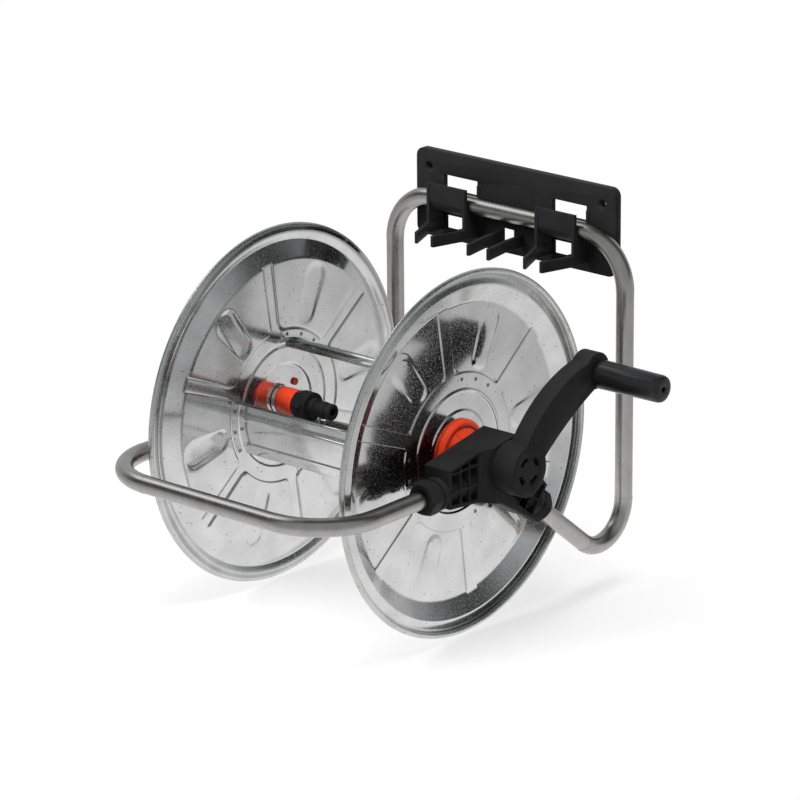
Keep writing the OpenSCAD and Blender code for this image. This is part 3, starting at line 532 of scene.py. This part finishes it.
for side, node, inner_rings in ((1, "disc_right", (13,)), (-1, "disc_left", (0, 13))):
    shape = bmesh.new()
    fold = shape.verts.layers.float.new("fold")
    stretch = shape.verts.layers.float.new("stretch")
    rings = [r * mm for r in inner_rings]
    for start, end, count in ring_marks:
        rings += [(start + (end - start) * (i + 1) / count) * mm for i in range(count)]
    row = [shape.verts.new((0, r, 0)) for r in rings]
    edges = [shape.edges.new(pair) for pair in zip(row, row[1:])]
    bmesh.ops.spin(shape, geom=row + edges, axis=(1, 0, 0), cent=(0, 0, 0), angle=2 * math.pi,
                   steps=columns, use_merge=True)
    for v in shape.verts:
        r = math.hypot(v.co.y, v.co.z)
        step = round(math.atan2(v.co.z, v.co.y) / (2 * math.pi) * columns) % columns
        spoke, column = divmod(step, 2 * half_columns)
        turn = column_turn(min(column, 2 * half_columns - column), r)
        from_spoke = turn if column <= half_columns else sector - turn
        angle = spoke_turn + spoke * sector + from_spoke
        v.co = round_axle(side * (web_x + pressed_height(r, turn)), r, angle)
        # Painted shade: dark in the rim's crevice, and along the edges of the spokes inside the cone.
        v[fold] = between(r / mm, crevice_marks, painted_crevice_shade)
        if r < cone_r:
            v[fold] = painted_spoke_shade * (1 - smooth_step(abs(off_spoke(r, turn)), spoke_slope / 4, spoke_slope))
        v[stretch] = between(r / mm, stretch_marks, stretch_share)
    bmesh.ops.remove_doubles(shape, verts=shape.verts, dist=pole_gap)
    face_towards(shape, Vector((side, 0, 0)))
    disc = piece_of(shape, f"pressed_{node}", bright_zinc)
    thicken(disc)
    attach(disc, "reel")
    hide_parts(node)

    shape = bmesh.new()
    ring = bmesh.ops.create_circle(shape, segments=bead_points, radius=bead_r)["verts"]
    bmesh.ops.translate(shape, verts=ring, vec=(side * bead_x, disc_r - bead_r, 0))
    bmesh.ops.spin(shape, geom=shape.verts[:] + shape.edges[:], axis=(1, 0, 0), cent=(0, 0, 0),
                   angle=2 * math.pi, steps=bead_steps, use_merge=True)
    bmesh.ops.translate(shape, verts=shape.verts, vec=(0, axle.y, axle.z))
    bmesh.ops.recalc_face_normals(shape, faces=shape.faces)
    bead = piece_of(shape, f"rolled_rim_{node}", rolled_zinc)
    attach(bead, "reel")

# Staves: three curved strips of the same sheet that make the drum. Two ribs are stamped along each,
# the long edges are rolled under, and the ends turn out into flanges against the discs.
stave_turns = {"stave_upper": 68, "stave_rear": 308, "stave_front": 188}
stave_r = 68 * mm
stave_half = math.radians(23)
flange_x = web_x - 2 * sheet
flange_r = stave_r + 11 * mm
bend_r = 2.5 * mm
straight = flange_x - bend_r
straight_steps, bend_steps, flange_steps, turn_steps = 24, 6, 3, 96
rib_turn = math.radians(12.05)
rib_half = 3.2 * mm
rib_flat_half = 0.45 * rib_half
rib_height = 1.5 * mm
rib_start, rib_end = 104 * mm, 108 * mm
rolled_r = 2.4 * mm
rolled_half = 107 * mm
rolled_points = 20

half_path = [(straight * i / straight_steps, stave_r) for i in range(straight_steps)]
half_path += [
    (straight + bend_r * math.sin(bend), stave_r + bend_r * (1 - math.cos(bend)))
    for bend in (math.pi / 2 * i / bend_steps for i in range(bend_steps + 1))]
half_path += [
    (flange_x, stave_r + bend_r + (flange_r - stave_r - bend_r) * i / flange_steps)
    for i in range(1, flange_steps + 1)]
path = [(-x, r) for x, r in reversed(half_path[1:])] + half_path
for name, middle_turn in stave_turns.items():
    shape = bmesh.new()
    bmesh.ops.create_grid(shape, x_segments=len(path) - 1, y_segments=turn_steps, size=0.5)
    for v in shape.verts:
        x, r = path[round((v.co.x + 0.5) * (len(path) - 1))]
        turn = 2 * stave_half * v.co.y
        off_rib = (abs(turn) - rib_turn) * stave_r
        rib = 1 - smooth_step(abs(off_rib), rib_flat_half, rib_half)
        r += rib * rib_height * (1 - smooth_step(abs(x), rib_start, rib_end))
        v.co = round_axle(x, r, math.radians(middle_turn) + turn)
    face_towards(shape, round_axle(0, 1, math.radians(middle_turn)) - axle)
    strip = piece_of(shape, f"pressed_{name}", bright_zinc)
    thicken(strip)
    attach(strip, "reel")
    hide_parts(name)

    shape = bmesh.new()
    for end in (-1, 1):
        angle = math.radians(middle_turn) + end * stave_half
        ring = bmesh.ops.create_circle(shape, segments=rolled_points, radius=rolled_r)["verts"]
        bmesh.ops.rotate(shape, verts=ring, cent=(0, 0, 0), matrix=Matrix.Rotation(math.pi / 2, 3, "Y"))
        bmesh.ops.translate(shape, verts=ring, vec=round_axle(-rolled_half, stave_r - rolled_r, angle))
        edges = [edge for edge in shape.edges if set(ring).issuperset(edge.verts)]
        drawn = bmesh.ops.extrude_edge_only(shape, edges=edges)["geom"]
        far_ring = [part for part in drawn if isinstance(part, bmesh.types.BMVert)]
        bmesh.ops.translate(shape, verts=far_ring, vec=(2 * rolled_half, 0, 0))
    bmesh.ops.recalc_face_normals(shape, faces=shape.faces)
    rolled = piece_of(shape, f"rolled_edges_{name}", bright_zinc)
    thicken(rolled)
    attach(rolled, "reel")

# Clinch marks: where a punch has locked each disc to the stave flanges there is a small round pit with a
# raised lip, three to a stave, on both faces of the joint. The punched zinc is dull, and its dark grey is
# painted shade for the pits.
pit_shade_zinc = galvanised_sheet(
    "galvanised sheet, punched, painted pit shade", colour="8B8E90", roughness=0.3, grit=0.6 * mm, grit_height=0.02 * mm)
clinch_r = stave_r + 5.5 * mm
clinch_turns = (-17, 0, 17)
clinch_steps = 16
lip_profile = ((0, 0.05), (1.1, 0.05), (1.5, 0.3), (1.9, 0.3), (2.2, -0.2))
shape = bmesh.new()
for middle_turn in sorted(stave_turns.values()):
    for clinch_turn in clinch_turns:
        angle = math.radians(middle_turn + clinch_turn)
        for face_x, out in ((web_x, 1), (-web_x, -1), (flange_x, -1), (-flange_x, 1)):
            centre = round_axle(face_x, clinch_r, angle)
            row = [shape.verts.new(centre + Vector((out * h, r, 0)) * mm) for r, h in lip_profile]
            edges = [shape.edges.new(pair) for pair in zip(row, row[1:])]
            bmesh.ops.spin(shape, geom=row + edges, axis=(1, 0, 0), cent=centre, angle=2 * math.pi,
                           steps=clinch_steps, use_merge=True)
bmesh.ops.remove_doubles(shape, verts=shape.verts, dist=pole_gap)
bmesh.ops.recalc_face_normals(shape, faces=shape.faces)
marks = piece_of(shape, "clinch_marks", pit_shade_zinc)
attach(marks, "reel")

# Hubs: orange mouldings on both sides of the drum. A ribbed flange with pegs drives each disc, and the
# journals turn in the bearing blocks. The crank sits on one, the water runs through the other.
# Orange nylon is a strong red orange with a soft gloss.
orange_nylon = moulding(
    "orange nylon", colour="CC391C", worn_colour="D44222", roughness=0.32, sheen=0.3,
    grain=0.7 * mm, grain_height=0.01 * mm)
rounded_copy("drive_hub", "reel", 0.3 * mm, orange_nylon)
rounded_copy("water_hub", "reel", 0.25 * mm, orange_nylon)

# Water outlet: an orange pipe end through the far disc, a bright steel ring that holds it there, a black
# union nut and the nipple that the hose connector snaps onto.
rounded_copy("outlet_body", "reel", 0.4 * mm, orange_nylon)
frame["nodes"]["outlet_clip"].material_slots[0].material = bright_zinc
rounded_copy("outlet_nut", "reel", 0.35 * mm, black_nylon)
rounded_copy("outlet_nipple", "reel", 0.3 * mm, black_nylon)

# Crank: a bowed black moulding on the hub's square end. A steel pin through its far end carries the grip,
# a smooth sleeve with a closed end. Its polished nylon is deep black with streaks of light along it.
rounded_copy("crank_arm", "reel", 0.8 * mm, black_nylon)
frame["nodes"]["grip_pin"].material_slots[0].material = tube_finish
gloss_black = moulding(
    "glossy black nylon", colour="131314", worn_colour="181819", roughness=0.18, sheen=0.3,
    grain=0.9 * mm, grain_height=0.004 * mm)
rounded_copy("crank_grip", "grip", 0.5 * mm, gloss_black)

# Water inlet: a rubber ring seals the turning journal in the black swivel, which stays still on the supply
# hose with its nipple. The rubber is black and dull.
seal_rubber = moulding(
    "black seal rubber", colour="161617", worn_colour="1C1C1D", roughness=0.6, sheen=0.3,
    grain=0.5 * mm, grain_height=0.01 * mm)
frame["nodes"]["journal_seal"].material_slots[0].material = seal_rubber
rounded_copy("inlet_swivel", "inlet", 0.4 * mm, black_nylon)
rounded_copy("inlet_nipple", "inlet", 0.3 * mm, black_nylon)
